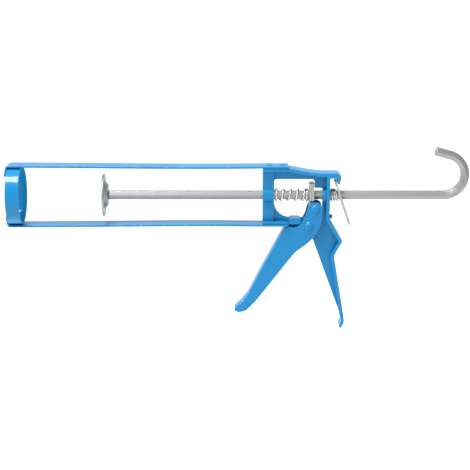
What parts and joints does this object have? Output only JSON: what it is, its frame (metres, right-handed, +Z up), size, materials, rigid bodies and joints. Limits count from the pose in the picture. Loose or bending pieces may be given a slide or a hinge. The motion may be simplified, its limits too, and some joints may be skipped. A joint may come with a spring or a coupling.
{
  "type": "caulking gun",
  "caption": "Skeleton caulking gun: ring and strap cradle, pressed handle frame, lever trigger, hexagonal push rod with hook and plunger.",
  "frame": {"origin": "centre of the nose ring's front face, on the push rod's axis", "axes": "+X along the rod from the ring to the pull hook, +Z up away from the trigger, +Y to the gun's right side seen from behind the ring"},
  "size_m": [0.4218, 0.0534, 0.1686],
  "materials": {
    "blue_paint": "gloss blue paint over pressed steel",
    "zinc_plate": "bright zinc plate with fine scratches",
    "spring_wire": "zinc plated spring wire",
    "rod_steel": "drawn steel bar with fine lengthwise lines"
  },
  "bodies": {
    "frame": {"nose_ring": "blue_paint", "top_rail": "blue_paint", "bottom_rail": "blue_paint", "frame_half_left": "blue_paint", "frame_half_right": "blue_paint", "top_rail_rivets": "blue_paint", "bottom_rail_rivets": "blue_paint", "stop_peg": "blue_paint", "drive_spring": "spring_wire", "release_spring": "spring_wire"},
    "trigger": {"trigger": "blue_paint", "trigger_pivot_rivet": "blue_paint", "pivot_spacers": "zinc_plate", "driver_pin": "blue_paint", "driver_roller": "zinc_plate"},
    "drive_plates": {"drive_plate_front": "zinc_plate", "drive_plate_rear": "zinc_plate"},
    "release_lever": {"release_lever": "zinc_plate"},
    "rod": {"push_rod": "rod_steel", "plunger_disc": "zinc_plate", "rod_end_washer": "zinc_plate"}
  },
  "joints": [
    {"name": "trigger_pull", "type": "hinge", "parent": "frame", "child": "trigger", "pos_m": [0.2733, 0, -0.0281], "axis": [0, -1, 0], "range_deg": [0, 38], "stiffness_Nm_per_rad": 0.25, "springref_deg": -28.65, "deforming": ["drive_spring"]},
    {"name": "plates_slide", "type": "slide", "parent": "frame", "child": "drive_plates", "axis": [-1, 0, 0], "range_m": [0, 0.0113]},
    {"name": "release_press", "type": "hinge", "parent": "frame", "child": "release_lever", "pos_m": [0.2971, 0, 0.013], "axis": [0, 1, 0], "range_deg": [0, 16.5], "stiffness_Nm_per_rad": 0.05, "springref_deg": -28.65, "deforming": ["release_spring"]},
    {"name": "rod_slide", "type": "slide", "parent": "frame", "child": "rod", "axis": [1, 0, 0], "range_m": [-0.078, 0.14]}
  ],
  "couplings": [
    {"joint": "plates_slide", "follows": "trigger_pull", "m_per_rad": 0.01683}
  ]
}
